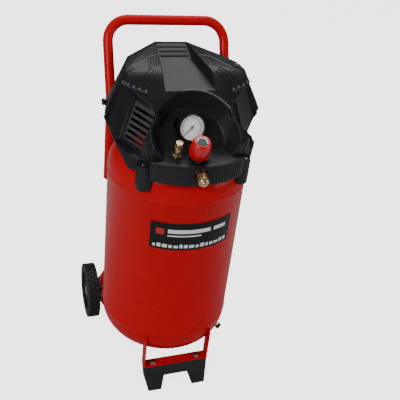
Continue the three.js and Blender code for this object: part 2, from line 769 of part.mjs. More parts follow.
// ---- pump ----
function pump() {
  const legs = [-1, 1].map((side) => {
    const x = side * (platformHalf - 6);
    const [near, far] = [x, x - side * 3].sort((a, b) => a - b);
    return block(near, far, -15, 105, tankHigh + 64, platformZ - 1);
  });
  const platform = joined(
    block(-platformHalf, platformHalf, -20, 110, platformZ - 3, platformZ),
    ...legs,
  );
  add(assembly, "pump_platform", clearOfTank(platform), steel);

  const feet = [[-80, 0], [80, 0], [-80, 78], [80, 78]];
  feet.forEach(([x, y], i) => {
    const profile = [
      [0, gap], [mountR, gap], [mountR - 2, mountHeight / 2], [mountR, mountHeight - gap],
      [0, mountHeight - gap],
    ];
    const mesh = add(assembly, "rubber_mount_" + (i + 1), turned(profile, 20), blackRubber);
    mesh.position.set(x, y, platformZ);
  });

  const baseZ = platformZ + mountHeight;
  const shaftBoss = shaftR + runGap;
  const caseR = 38;
  const caseInner = 34;
  const caseLeft = 2;
  const caseRight = 60;
  const along = (shape, x) => acrossX(shape).translate(x, shaftY, shaftZ);
  const body = joined(
    block(-100, 95, -12, 84, baseZ, baseZ + baseThick),
    block(caseLeft, caseRight, shaftY - 25, shaftY + 25, baseZ, shaftZ - 30),
    along(drum(caseR, caseRight - caseLeft, 36), caseLeft),
  );
  const hollow = along(drum(caseInner, caseRight, 36), caseLeft + 4);
  const shaftHole = along(drum(shaftBoss, 20, 20), caseLeft - 5);
  const backCut = block(-40, 120, shaftY + cylinderStart - gap, 200, baseZ + baseThick, shaftZ + 159);
  add(assembly, "crankcase", cut(body, hollow, shaftHole, backCut), aluminium);

  const statorBody = cut(
    solid(along(drum(statorR, statorRight - statorLeft, 36), statorLeft)),
    along(drum(27, 200, 28), statorLeft - 50),
  );
  const saddleLow = baseZ + baseThick + gap;
  const saddle = block(
    statorLeft + 8, statorRight - 8, shaftY - 22, shaftY + 22, saddleLow, shaftZ - 32,
  );
  add(assembly, "motor_stator", statorBody.add(solid(saddle)), steel);
  for (const [name, x0, x1] of [
    ["motor_bell_left", statorLeft - gap - 7, statorLeft - gap],
    ["motor_bell_right", statorRight + gap, statorRight + gap + 7],
  ]) {
    const bell = solid(along(drum(statorR + 2, x1 - x0, 36), x0));
    const stand = block(x0, x1, shaftY - 20, shaftY + 20, baseZ + baseThick + gap, shaftZ - 20);
    add(assembly, name, cut(bell.add(solid(stand)), along(drum(shaftBoss, 40, 20), x0 - 10)), aluminium);
  }
  const rotor = joined(
    along(drum(26, statorRight - statorLeft - 14, 28), statorLeft + 7),
    along(drum(shaftR, 12 - (statorLeft - 30), 20), statorLeft - 30),
  );
  add(assembly, "rotor_shaft", rotor, steel);

  const fanX = statorLeft - 29;
  const hub = joined(along(drum(12, 14, 24), fanX), along(drum(fanR - 8, 2, 36), fanX + 12));
  const blades = [];
  const bladeCount = 9;
  for (let i = 0; i < bladeCount; i++) {
    const blade = block(0, 13, -1, 1, 10, fanR);
    blades.push(blade.rotateX((i / bladeCount) * 2 * Math.PI).translate(fanX, shaftY, shaftZ));
  }
  const fan = blades.map(solid).reduce((a, b) => a.add(b), hub);
  add(assembly, "cooling_fan", cut(fan, along(drum(shaftR + gap, 40, 20), fanX - 10)), blackPlastic);

  const discX = 12 + gap;
  const pinX = 28;
  const pinY = shaftY + crankThrow; // the piston rests at the outer end of its stroke
  const disc = joined(
    along(drum(24, 12, 32), discX),
    acrossX(drum(7, pinX - discX - 2, 20)).translate(discX + 2, pinY, shaftZ),
  );
  add(assembly, "crank_disc", disc, steel);

  // A round piece on the cylinder's axis, which lies towards the back, from a distance off the shaft.
  const onCylinder = (radius, length, start, sides = 36) =>
    drum(radius, length, sides)
      .rotateX(-Math.PI / 2)
      .translate(cylinderX, shaftY + start, shaftZ);
  const rodX = pinX + runGap;
  const bigEnd = solid(acrossX(ring(9, 16, 10, 28)).translate(rodX, pinY, shaftZ));
  const pistonEnd = cylinderStart + 21 + crankThrow;
  const rodBody = joined(
    block(rodX, rodX + 10, pinY + 14, shaftY + pistonEnd - 4, shaftZ - 6, shaftZ + 6),
    onCylinder(pistonR, 8, pistonEnd - 8),
  );
  add(assembly, "piston_rod", bigEnd.add(rodBody), aluminium);

  const outerR = pistonR + cylinderWall;
  const liner = cut(
    solid(onCylinder(outerR, cylinderHeight, cylinderStart)),
    onCylinder(pistonR + runGap, 60, cylinderStart - 10),
  );
  add(assembly, "cylinder", liner, aluminium);
  const plateStart = cylinderStart + cylinderHeight + gap;
  const ports = [-10, 10].map((x) => onCylinder(3, 20, plateStart - 5, 12).translate(x, 0, 0));
  add(assembly, "valve_plate", cut(solid(onCylinder(outerR, 3, plateStart)), ...ports), steel);
  const headStart = plateStart + 3 + gap;
  const finY = shaftY + headStart + 10;
  const head = joined(
    onCylinder(outerR, 12, headStart),
    ...[-24, -12, 0, 12, 24].map((x) =>
      block(cylinderX + x - 1.2, cylinderX + x + 1.2, finY, finY + 9, shaftZ - 24, shaftZ + 24),
    ),
  );
  add(assembly, "cylinder_head", head, aluminium);
  const headMiddle = shaftY + headStart + 6;
  const filter = acrossX(drum(5.5, 18, 24));
  filter.translate(cylinderX + outerR + gap, headMiddle, shaftZ);
  add(assembly, "intake_filter", filter, blackPlastic);

  const from = new THREE.Vector3(cylinderX - outerR - gap, headMiddle, shaftZ);
  const tubeEnd = new THREE.Vector3(checkPort.x, checkPort.y, tankHigh + 102 + gap);
  const tube = new THREE.CatmullRomCurve3([
    from,
    from.clone().add(new THREE.Vector3(-8, 0, 0)),
    new THREE.Vector3(checkPort.x - 1, headMiddle + 2, shaftZ - 14),
    tubeEnd.clone().add(new THREE.Vector3(0, 0, 18)),
    tubeEnd,
  ]);
  add(assembly, "discharge_tube", bar(tube, 4.5, 18, 8), copper);
  const can = acrossX(drum(17, 76, 24)).translate(statorLeft - 12, 106, platformZ + 29);
  add(assembly, "run_capacitor", can, aluminium);
}

tank();
add(assembly, "handle_tube", bar(handlePath(), handleR, 54, 10), redPaint);
undercarriage();
foot();
drain();
hood();
controlPanel();
controls();
pump();

const model = new THREE.Group();
model.add(assembly);

export default model;
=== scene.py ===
"""Looks of an upright wheeled air compressor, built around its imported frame."""

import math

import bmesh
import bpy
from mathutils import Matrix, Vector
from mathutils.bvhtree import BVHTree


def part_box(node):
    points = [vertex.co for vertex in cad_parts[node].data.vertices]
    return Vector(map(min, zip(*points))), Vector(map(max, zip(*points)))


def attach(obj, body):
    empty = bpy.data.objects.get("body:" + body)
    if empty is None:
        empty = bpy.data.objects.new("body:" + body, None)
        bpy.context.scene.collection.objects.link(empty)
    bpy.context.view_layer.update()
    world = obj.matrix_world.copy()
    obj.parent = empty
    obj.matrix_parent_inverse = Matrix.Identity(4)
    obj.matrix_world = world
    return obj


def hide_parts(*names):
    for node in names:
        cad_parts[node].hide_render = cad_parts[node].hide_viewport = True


bl_info = {
    "name": "Upright air compressor looks",
    "version": (1, 0, 0),
    "blender": (4, 5, 0),
    "location": "3D View > Sidebar > Compressor",
    "description": "Builds the visible pieces and finishes of a wheeled air compressor",
    "category": "Object",
}

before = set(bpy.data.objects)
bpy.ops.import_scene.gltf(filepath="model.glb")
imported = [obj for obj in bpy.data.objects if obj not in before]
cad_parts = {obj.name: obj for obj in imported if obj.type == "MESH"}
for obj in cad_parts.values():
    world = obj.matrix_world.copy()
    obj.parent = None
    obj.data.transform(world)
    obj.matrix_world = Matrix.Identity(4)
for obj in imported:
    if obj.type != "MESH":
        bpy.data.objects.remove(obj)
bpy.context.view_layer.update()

MM = 0.001
AXLE_FROM_AXIS = 159.5  # mm, from the tank's axis back to the axle
_low, _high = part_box("axle_rod")
AXIS_Y = (_low[1] + _high[1]) / 2 - AXLE_FROM_AXIS * MM  # where the tank's axis stands
TO_METRES = Matrix.Translation((0, AXIS_Y, 0)) @ Matrix.Scale(MM, 4)

# Shapes are drawn in mm from the tank's axis and the floor, with angles in degrees from the front.
LABEL_R = 165.7  # radius that the label's film lies on
TYRE_FACE = 188.7  # from the middle to the outer face of a tyre
SKIRT_R = 175.0  # middle of the ribs round the hood's skirt
# Where each fitting stands: x, y, height, and its lean forward about X in degrees.
GAUGE = (-5, -92, 718, 75)
REGULATOR = (-3, -137, 673, 21)
VALVE = (-48, -130, 673, 15)
COUPLER = (-3, -132, 665, 114)


# ---- small tools ----
def linear(hex_colour):
    """An sRGB hex value as linear red, green, blue and alpha."""
    parts = [int(hex_colour[i : i + 2], 16) / 255 for i in (1, 3, 5)]
    return [c / 12.92 if c <= 0.04045 else ((c + 0.055) / 1.055) ** 2.4 for c in parts] + [1.0]


def put(tree, kind, inputs=None, **settings):
    """Adds a node with its settings; an input is a value or another node's output."""
    made = tree.nodes.new(kind)
    for key, value in settings.items():
        setattr(made, key, value)
    for key, value in (inputs or {}).items():
        socket = made.inputs[key]
        if isinstance(value, bpy.types.NodeSocket):
            tree.links.new(value, socket)
        else:
            socket.default_value = value
    return made


def in_mm(length):
    """A setting in metres as mm, to a hundredth."""
    return round(length / MM, 2)


def leaned(x, y, z, tilt):
    """Places a shape drawn upright in mm at a point, leaned forward about X."""
    return TO_METRES @ Matrix.Translation((x, y, z)) @ Matrix.Rotation(math.radians(tilt), 4, "X")


def polar(angle, radius, z):
    """A point in mm at an angle from the front, about the tank's axis."""
    a = math.radians(angle)
    return Vector((radius * math.sin(a), -radius * math.cos(a), z))


def new_object(name, data):
    """An object in the scene that holds the data."""
    made = bpy.data.objects.new(name, data)
    bpy.context.scene.collection.objects.link(made)
    return made


def mesh_from(name, bm):
    """Turns a bmesh into mesh data and frees it."""
    mesh = bpy.data.meshes.new(name)
    bm.to_mesh(mesh)
    bm.free()
    return mesh


def bmesh_from(mesh):
    """Turns mesh data into a bmesh and removes it."""
    bm = bmesh.new()
    bm.from_mesh(mesh)
    bpy.data.meshes.remove(mesh)
    return bm


def moved(bm, matrix):
    bmesh.ops.transform(bm, matrix=matrix, verts=bm.verts)
    return bm


def raised(bm, z):
    return moved(bm, Matrix.Translation((0, 0, z)))


def grid_faces(bm, rows, closed_rows=False):
    """Faces between rows of vertices; a row of one vertex is a pole."""
    count = len(rows)
    for i in range(count if closed_rows else count - 1):
        a, b = rows[i], rows[(i + 1) % count]
        n = max(len(a), len(b))
        for j in range(n):
            k = (j + 1) % n
            if len(a) == 1:
                corners = (a[0], b[j], b[k])
            elif len(b) == 1:
                corners = (a[j], a[k], b[0])
            else:
                corners = (a[j], a[k], b[k], b[j])
            bm.faces.new(corners)


def circle_section(radius, sides):
    turn = [2 * math.pi * j / sides for j in range(sides)]
    return [(radius * math.cos(a), radius * math.sin(a)) for a in turn]


def arc_points(radius, z, first, last, step):
    """Points round Z at a height, from one angle to another."""
    turn = [math.radians(a) for a in range(first, last + 1, step)]
    return [Vector((radius * math.cos(a), radius * math.sin(a), z)) for a in turn]


def lathe(profile, sides, closed=False):
    """A [radius, height] profile turned about Z."""
    bm = bmesh.new()
    rows = []
    for r, z in profile:
        ring = circle_section(r, sides) if r > 0 else [(0, 0)]
        rows.append([bm.verts.new((x, y, z)) for x, y in ring])
    grid_faces(bm, rows, closed_rows=closed)
    return bm


def sweep(points, section, closed=False, up=Vector((0, 0, 1))):
    """A flat section carried along points, its second axis kept near up."""
    bm = bmesh.new()
    rows = []
    count = len(points)
    for i, p in enumerate(points):
        before = points[i - 1] if closed or i else points[i]
        after = points[(i + 1) % count] if closed or i < count - 1 else points[i]
        along = (after - before).normalized()
        lift = up[i] if isinstance(up, list) else up
        across = along.cross(lift).normalized()
        lift = across.cross(along).normalized()
        rows.append([bm.verts.new(p + across * s + lift * t) for s, t in section])
    grid_faces(bm, rows, closed_rows=closed)
    if not closed:
        for row in (rows[0], rows[-1]):
            bm.faces.new(row)
    return bm


def box_bm(x0, x1, y0, y1, z0, z1, turn=None):
    bm = bmesh.new()
    bmesh.ops.create_cube(bm, size=1)
    scale = Matrix.Diagonal((x1 - x0, y1 - y0, z1 - z0, 1))
    middle = Matrix.Translation(((x0 + x1) / 2, (y0 + y1) / 2, (z0 + z1) / 2))
    return moved(bm, (turn or Matrix()) @ middle @ scale)


def join_bm(parts):
    """Several meshes as one."""
    whole = bmesh.new()
    for part in parts:
        mesh = mesh_from("part", part)
        whole.from_mesh(mesh)
        bpy.data.meshes.remove(mesh)
    return whole


def rounded(bm, width):
    """Rounds the edges sharper than 30 degrees."""
    bm.normal_update()
    edges = [
        e for e in bm.edges
        if len(e.link_faces) == 2 and e.calc_face_angle(0) > math.radians(30)
    ]
    bmesh.ops.bevel(
        bm, geom=edges, offset=width, segments=2, profile=0.6,
        affect="EDGES", clamp_overlap=True,
    )
    return bm


def finished(name, bm, finish, body="frame", matrix=TO_METRES, smooth=35):
    """Makes the piece from a mesh in mm, its place in its mesh, and lets it ride on its body."""
    bmesh.ops.remove_doubles(bm, verts=bm.verts, dist=1e-4)
    moved(bm, matrix)
    bmesh.ops.recalc_face_normals(bm, faces=bm.faces)
    mesh = mesh_from(name, bm)
    mesh.shade_smooth()
    mesh.set_sharp_from_angle(angle=math.radians(smooth))
    mesh.materials.append(finishes[finish])
    piece = new_object(name, mesh)
    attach(piece, body)
    return piece


def repaint(node, finish):
    """Gives a CAD node that stays in view its finish."""
    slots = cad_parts[node].data.materials
    slots.clear()
    slots.append(finishes[finish])


def node_copy(node):
    """A CAD node's shape as a clean mesh in mm about the tank's axis."""
    bm = bmesh.new()
    bm.from_mesh(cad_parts[node].data)
    moved(bm, TO_METRES.inverted())
    bmesh.ops.remove_doubles(bm, verts=bm.verts, dist=0.005)
    bmesh.ops.dissolve_limit(
        bm, angle_limit=math.radians(1.0), verts=bm.verts, edges=bm.edges,
    )
    return bm


def with_modifiers(bm, build):
    """Runs modifiers, added by build(object), over a mesh in mm and gives the result back."""
    work = new_object("work", mesh_from("work", bm))
    build(work)
    shown = work.evaluated_get(bpy.context.evaluated_depsgraph_get())
    result = bpy.data.meshes.new_from_object(shown)
    bpy.data.objects.remove(work)
    return bmesh_from(result)


def add_bevel(work, width, segments, angle):
    """A Bevel modifier on the edges sharper than an angle."""
    bevel = work.modifiers.new("edges", "BEVEL")
    bevel.width = width
    bevel.segments = segments
    bevel.limit_method = "ANGLE"
    bevel.angle_limit = math.radians(angle)
    bevel.use_clamp_overlap = True


def softened(node, width, finish, body="frame", segments=2):
    """Replaces a CAD node with the same shape, its edges rounded."""
    bm = with_modifiers(node_copy(node), lambda work: add_bevel(work, width, segments, 30))
    piece = finished(node + "_piece", bm, finish, body)
    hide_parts(node)
    return piece


# ---- geometry nodes ----
def block_ring_tree(name):
    """A tree that repeats a block round a circle, each copy facing out."""
    tree = bpy.data.node_groups.new(name, "GeometryNodeTree")
    face = tree.interface
    face.new_socket("Geometry", in_out="OUTPUT", socket_type="NodeSocketGeometry")
    for label, kind in (
        ("Geometry", "Geometry"), ("Count", "Int"), ("Block", "Vector"), ("Radius", "Float"),
        ("Material", "Material"),
    ):
        face.new_socket(label, in_out="INPUT", socket_type="NodeSocket" + kind)
    given = put(tree, "NodeGroupInput").outputs
    block = put(tree, "GeometryNodeMeshCube", {"Size": given["Block"]})
    points = put(
        tree, "GeometryNodeMeshCircle", {"Vertices": given["Count"], "Radius": given["Radius"]}
    )
    place = put(tree, "GeometryNodeInputPosition")
    facing = put(
        tree, "FunctionNodeAlignRotationToVector", {"Vector": place.outputs[0]}, axis="X"
    )
    copies = put(
        tree, "GeometryNodeInstanceOnPoints",
        {"Points": points.outputs[0], "Instance": block.outputs[0], "Rotation": facing.outputs[0]},
    )
    real = put(tree, "GeometryNodeRealizeInstances", {"Geometry": copies.outputs[0]})
    painted = put(
        tree, "GeometryNodeSetMaterial",
        {"Geometry": real.outputs[0], "Material": given["Material"]},
    )
    put(tree, "NodeGroupOutput", {"Geometry": painted.outputs[0]})
    return tree


def block_ring(finish, **values):
    """A ring of blocks in mm as a plain mesh; the values are the tree's inputs."""
    name = "block_ring"
    tree = bpy.data.node_groups.get(name) or block_ring_tree(name)
    values["material"] = finishes[finish]

    def build(work):
        modifier = work.modifiers.new("ring", "NODES")
        modifier.node_group = tree
        for item in tree.interface.items_tree:
            key = item.name.lower()
            if item.in_out == "INPUT" and key in values:
                modifier[item.identifier] = values[key]

    return with_modifiers(bmesh.new(), build)


# ---- finishes ----
finishes = {}
PATCHES_PER_METRE = 18.0  # broad drifts of colour, one each 56 mm or so


def new_finish(key, name, colour, roughness, metallic=0.0, ior=1.5, **sockets):
    """A material with its Principled shader's plain values set; returns its tree and shader."""
    material = bpy.data.materials.new(name)
    material.use_nodes = True
    tree = material.node_tree
    shader = tree.nodes["Principled BSDF"]
    plain = {"Base Color": linear(colour), "Roughness": roughness, "Metallic": metallic, "IOR": ior}
    for socket, value in {**plain, **sockets}.items():
        shader.inputs[socket].default_value = value
    finishes[key] = material
    return tree, shader


def speckled(
    key, name, colours, rough, grain_mm, depth_mm, stretch=(1, 1, 1), edge_mm=0.0, **sockets
):
    """A finish with colour, roughness, relief and softened edges from grain of a real size."""
    tree, shader = new_finish(key, name, colours[0], sum(rough) / 2, **sockets)
    place = put(tree, "ShaderNodeTexCoord").outputs["Object"]
    scaled = put(tree, "ShaderNodeMapping", {"Vector": place, "Scale": stretch}).outputs[0]
    grain = put(
        tree, "ShaderNodeTexNoise",
        {"Vector": scaled, "Scale": 1 / (grain_mm * MM), "Detail": 3.0, "Roughness": 0.55},
    ).outputs["Fac"]
    wide = put(
        tree, "ShaderNodeTexNoise", {"Vector": scaled, "Scale": PATCHES_PER_METRE, "Detail": 2.0}
    ).outputs["Fac"]
    mix = put(tree, "ShaderNodeMix", {"Factor": wide}, data_type="RGBA")
    for socket, colour in zip((6, 7), colours):  # the mix's two colours, A and B
        mix.inputs[socket].default_value = linear(colour)
    tree.links.new(mix.outputs[2], shader.inputs["Base Color"])
    low, high = rough
    dull = put(
        tree, "ShaderNodeMapRange",
        {"Value": grain, "From Min": 0.3, "From Max": 0.7, "To Min": low, "To Max": high},
    )
    tree.links.new(dull.outputs[0], shader.inputs["Roughness"])
    if depth_mm:
        relief = put(
            tree, "ShaderNodeBump",
            {"Height": grain, "Distance": depth_mm * MM, "Strength": 1.0},
        )
        if edge_mm:
            soft = put(tree, "ShaderNodeBevel", {"Radius": edge_mm * MM}, samples=6)
            tree.links.new(soft.outputs[0], relief.inputs["Normal"])
        tree.links.new(relief.outputs[0], shader.inputs["Normal"])
    return tree, shader


def make_finishes():
    look = bpy.context.scene.compressor_finish
    red, dark, cap = look.paint_hex, look.hood_hex, look.knob_hex
    # Each row: key, name, two colours that drift into each other, the two ends of the
    # roughness, the grain's size and depth in mm, and what else the finish has.
    for *row, more in (
        # Baked enamel over steel: a deep gloss whose sheen drifts a little over 9 mm.
        ("enamel", "Baked enamel, red", (red, "#B60813"), (0.22, 0.28), 9.0, 0,
         {"Specular IOR Level": 0.14}),
        # ABS moulded in a spark-eroded tool: satin near-black with a fine even grain.
        # The real grain is near 0.2 mm; it is drawn at 0.9 mm so that it shows.
        ("hood", "Moulded ABS, spark-eroded black", (dark, "#19191C"), (0.34, 0.48), 0.9, 0.04,
         {"edge_mm": 4.5, "Specular IOR Level": 0.4}),
        # The same ABS on the ribs and beads, whose own edges are already soft.
        ("rib", "Moulded ABS, ribs", ("#232328", dark), (0.3, 0.42), 0.9, 0.02,
         {"Specular IOR Level": 0.4}),
        # The same ABS, glossier, drawn in a lighter grey along beads, ribs and teeth: a painted
        # highlight.
        ("hood_bead", "Moulded ABS, polished black", ("#5A5A60", "#4A4A50"), (0.22, 0.32), 1.5,
         0.02, {"edge_mm": 1.0}),
        # Mid-grey ABS of the vent grilles.
        ("grille", "Moulded ABS, mid grey", ("#48494D", "#38393D"), (0.26, 0.38), 1.2, 0.03, {}),
        # Solid rubber from a mould: matt black with a dusty bloom.
        ("rubber", "Solid rubber, moulded", ("#17171A", "#222225"), (0.52, 0.75), 1.4, 0.06, {}),
        # Polypropylene: waxy dark grey.
        ("hub", "Polypropylene, moulded dark grey", ("#34363A", "#2C2E32"), (0.36, 0.48), 1.2,
         0.03, {}),
        # Bright zinc plate: cool white metal with soft cloudy roughness.
        ("zinc", "Zinc plate, bright", ("#C9CCD2", "#B4B8C0"), (0.2, 0.38), 0.8, 0.01,
         {"metallic": 1.0}),
        # Turned brass, pale, with tool marks finer than a millimetre drawn at 0.7 mm.
        ("brass", "Turned brass, pale", ("#F2D8AC", "#DDB984"), (0.24, 0.4), 0.7, 0.01,
         {"metallic": 1.0, "stretch": (1, 1, 6)}),
        # Ground steel bar and sheet.
        ("steel", "Ground steel", ("#A4A7AC", "#92959B"), (0.26, 0.42), 0.6, 0.01,
         {"metallic": 1.0, "stretch": (1, 1, 8)}),
        # Die-cast aluminium: dull silver with a cast skin.
        ("aluminium", "Die-cast aluminium", ("#B9BBBE", "#A4A6AA"), (0.38, 0.55), 1.6, 0.05,
         {"metallic": 1.0}),
        # Drawn copper tube, slightly tarnished.
        ("copper", "Drawn copper tube", ("#C27A54", "#9C5B3C"), (0.24, 0.4), 3.0, 0.01,
         {"metallic": 1.0}),
        # Polished ABS, red: a clear toy-like gloss.
        ("knob", "Polished ABS, red", (cap, "#B0141E"), (0.12, 0.18), 5.0, 0,
         {"Coat Weight": 0.4, "Coat Roughness": 0.03}),
        # Black satin plastic of the gauge case, caps and buttons.
        ("gloss", "Moulded nylon, black", ("#19191C", "#202024"), (0.26, 0.36), 1.0, 0.015, {}),
        # White lacquer and the printed inks: flat colours with a faint tooth.
        ("dial", "Lacquered dial, white", ("#FFFFFF", "#FAF9F6"), (0.36, 0.46), 2.0, 0.004, {}),
        ("ink", "Printing ink, black", ("#1A1A1C", "#262628"), (0.45, 0.6), 0.6, 0.002, {}),
        ("print_white", "Printing ink, white", ("#E9E9EC", "#DCDCE0"), (0.36, 0.5), 1.0, 0.002, {}),
        ("print_red", "Printing ink, red", ("#C21F2A", "#B01A24"), (0.36, 0.5), 1.0, 0.002, {}),
        # Polyester film: flat black with a hard gloss.
        ("film", "Polyester film, black", ("#101013", "#17171A"), (0.18, 0.28), 6.0, 0.006,
         {"Specular IOR Level": 0.25}),
    ):
        speckled(*row, **more)

    # Clear polycarbonate: mostly unseen but for its reflections.
    new_finish("lens", "Polycarbonate window", "#FFFFFF", 0.04, ior=1.58, Alpha=0.05)

    # Matt paper sweep of the studio.
    tree, shader = speckled(
        "floor", "Matt paper, pale", ("#B4B4B4", "#B0B0B0"), (0.75, 0.85), 6.0, 0.02
    )
    shader.inputs["Emission Color"].default_value = linear("#FFFFFF")
    # The camera sees the paper fully lit; reflections in the paint see it dim.
    seen = put(tree, "ShaderNodeLightPath").outputs["Is Camera Ray"]
    glow = put(tree, "ShaderNodeMapRange", {"Value": seen, "To Min": 0.0, "To Max": 3.0})
    tree.links.new(glow.outputs[0], shader.inputs["Emission Strength"])


# ---- settings ----
class FinishSettings(bpy.types.PropertyGroup):
    paint_hex: bpy.props.StringProperty(
        name="Paint", description="Colour of the enamel as sRGB hex", default="#C20A16"
    )
    hood_hex: bpy.props.StringProperty(
        name="Hood", description="Colour of the hood's plastic as sRGB hex", default="#1E1E22"
    )
    knob_hex: bpy.props.StringProperty(
        name="Knob", description="Colour of the regulator knob as sRGB hex", default="#C80814"
    )


class TankSettings(bpy.types.PropertyGroup):
    radius: bpy.props.FloatProperty(
        name="Radius", description="Outer radius of the tank", default=0.165, min=0.05,
        unit="LENGTH",
    )
    shell_low: bpy.props.FloatProperty(
        name="Shell start", description="Height of the straight shell's lower end",
        default=0.1635, unit="LENGTH",
    )
    shell_high: bpy.props.FloatProperty(
        name="Shell end", description="Height of the straight shell's upper end",
        default=0.576, unit="LENGTH",
    )
    dome: bpy.props.FloatProperty(
        name="Dome height", description="Height of each domed end", default=0.0995,
        unit="LENGTH",
    )
    bead: bpy.props.FloatProperty(
        name="Weld bead", description="How far the weld beads stand out", default=0.0013,
        precision=4, unit="LENGTH",
    )


class WheelSettings(bpy.types.PropertyGroup):
    radius: bpy.props.FloatProperty(
        name="Radius", description="Outer radius of a wheel", default=0.078, unit="LENGTH"
    )
    width: bpy.props.FloatProperty(
        name="Width", description="Width of a tyre", default=0.033, unit="LENGTH"
    )
    lugs: bpy.props.IntProperty(
        name="Tread blocks", description="Tread blocks in each row of a tyre", default=30, min=8
    )


class HoodSettings(bpy.types.PropertyGroup):
    edge: bpy.props.FloatProperty(
        name="Edge radius", description="Rounding of the hood's edges", default=0.0022,
        precision=4, unit="LENGTH",
    )
    skirt_ribs: bpy.props.IntProperty(
        name="Skirt ribs", description="Fine upright ribs in a full turn of the hood's skirt",
        default=150, min=8,
    )


class StageSettings(bpy.types.PropertyGroup):
    key_watts: bpy.props.FloatProperty(
        name="Key light", description="Power of the key light in watts", default=32.0, min=0,
        unit="POWER",
    )
    surround: bpy.props.FloatProperty(
        name="Surround", description="Strength of the even white surround", default=0.5, min=0,
        max=1, subtype="FACTOR",
    )


class COMPRESSOR_OT_stage(bpy.types.Operator):
    """Camera, pale floor and soft studio light"""

    bl_idname = "compressor.stage"
    bl_label = "Stage"

    def execute(self, context):
        settings = context.scene.compressor_stage
        surround, watts = settings.surround, settings.key_watts
        lens_mm, sensor_mm = 56.22, 36
        view = bpy.data.cameras.new("camera")
        view.lens = lens_mm
        view.sensor_width = sensor_mm
        camera = new_object("camera", view)
        seat = (-0.4304, -1.2369 + AXIS_Y, 1.3025)  # metres
        azimuth, elevation, roll = (math.radians(v) for v in (-22.03, 32.0, 7.36))
        camera.matrix_world = (
            Matrix.Translation(seat)
            @ Matrix.Rotation(azimuth, 4, "Z")
            @ Matrix.Rotation(math.pi / 2 - elevation, 4, "X")
            @ Matrix.Rotation(roll, 4, "Z")
        )
        context.scene.camera = camera

        floor = bmesh.new()
        half_width = 6  # metres
        bmesh.ops.create_grid(floor, x_segments=8, y_segments=8, size=half_width)
        paper = new_object("studio_floor", mesh_from("studio_floor", floor))
        paper.data.materials.append(finishes["floor"])

        world = bpy.data.worlds.new("surround")
        world.use_nodes = True
        context.scene.world = world
        sky = world.node_tree.nodes["Background"]
        sky.inputs["Color"].default_value = linear("#FFFFFF")
        sky.inputs["Strength"].default_value = surround
        # Highlights see a dimmer surround, as in a studio draped in black cloth.
        in_highlights = 0.12
        ray = put(world.node_tree, "ShaderNodeLightPath").outputs["Is Glossy Ray"]
        dim = put(
            world.node_tree, "ShaderNodeMapRange",
            {"Value": ray, "To Min": surround, "To Max": surround * in_highlights},
        )
        world.node_tree.links.new(dim.outputs[0], sky.inputs["Strength"])
        middle = Vector((0, 0, 0.5))  # of the compressor, where the lamps point
        for name, place, size, power in (
            ("key_light", (-1.7, -1.3, 1.9), 1.2, watts),
            ("fill_light", (1.9, -1.2, 1.0), 1.0, watts * 0.3),
            ("top_light", (0.4, 0.9, 2.4), 1.4, watts * 0.6),
        ):
            lamp = bpy.data.lights.new(name, "AREA")
            lamp.size = size
            lamp.energy = power
            light = new_object(name, lamp)
            aim = middle - Vector(place)
            turn = aim.to_track_quat("-Z", "Y").to_matrix().to_4x4()
            light.matrix_world = Matrix.Translation(place) @ turn
        return {"FINISHED"}


class COMPRESSOR_OT_tank(bpy.types.Operator):
    """Pressure tank with its weld beads, and the label round its front"""

    bl_idname = "compressor.tank"
    bl_label = "Tank"

    def execute(self, context):
        size = context.scene.compressor_tank
        radius, rise_of_dome, proud = in_mm(size.radius), in_mm(size.dome), in_mm(size.bead)
        shell_low, shell_high = in_mm(size.shell_low), in_mm(size.shell_high)
        power = 2.24  # between an ellipse and a flat end
        steps = 40
        dome = []
        for i in range(steps + 1):
            t = i / steps * math.pi / 2
            r = radius * math.sin(t) ** (2 / power)
            dome.append((r if i else 0.0, rise_of_dome * math.cos(t) ** (2 / power)))

        def seam(z):
            rise, pitch = [0, 0.35, 0.8, 1, 0.8, 0.35, 0], 1.1
            return [(radius + proud * k, z + (i - 3) * pitch) for i, k in enumerate(rise)]

        seam_in = 9  # from each end of the shell to its weld
        profile = [(r, shell_low - h) for r, h in dome]
        profile += seam(shell_low + seam_in) + seam(shell_high - seam_in)
        profile += [(r, shell_high + h) for r, h in reversed(dome)]
        tank = finished("tank_body", lathe(profile, 160), "enamel")
        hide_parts("tank_shell")

        # The long seam up the back of the shell, as one uneven bead.
        short, ripples = 13, 89  # stops short of each weld
        points, span = [], shell_high - shell_low - 2 * short
        for i in range(ripples + 1):
            wobble = 0.35 * math.sin(i * 2.3) + 0.2 * math.sin(i * 5.1)
            z = shell_low + short + span * i / ripples
            points.append(Vector((wobble, radius - 0.6, z)))
        section = [(-2.6, -0.8), (-1.6, 0.9), (0, 1.4), (1.6, 0.9), (2.6, -0.8)]
        bead = sweep(points, section, up=Vector((0, 1, 0)))
        finished("tank_long_seam", bead, "enamel")
        self.label()
        return {"FINISHED"}

    def label(self):
        """Black film with generic bars, round the front of the tank."""
        repaint("label_plate", "film")
        low, high = LABEL_R, LABEL_R + 0.25

        def patch(angle0, angle1, z0, z1):
            bm = bmesh.new()
            count = max(2, int(abs(angle1 - angle0) / 1.5) + 1)
            rows = []
            for i in range(count + 1):
                angle = angle0 + (angle1 - angle0) * i / count
                corners = [(low, z0), (high, z0), (high, z1), (low, z1)]
                rows.append([bm.verts.new(polar(angle, r, z)) for r, z in corners])
            grid_faces(bm, rows)
            bm.faces.new(rows[0])
            bm.faces.new(rows[-1])
            return bm

        # Plain bars stand in for the lettering.
        white = [patch(-21, 14, 491, 501), patch(17, 29, 491, 501), patch(-21, 6, 482, 485.5)]
        angle, gap = -32.5, 1.25
        for k in range(15):
            width = 2.2 + (k * 7 % 5) * 0.45
            white.append(patch(angle, angle + width, 451, 458 + (k * 3 % 4)))
            angle += width + gap
        finished("label_print", join_bm(white), "print_white")
        finished("label_mark", patch(-30.5, -24, 486, 502), "print_red")


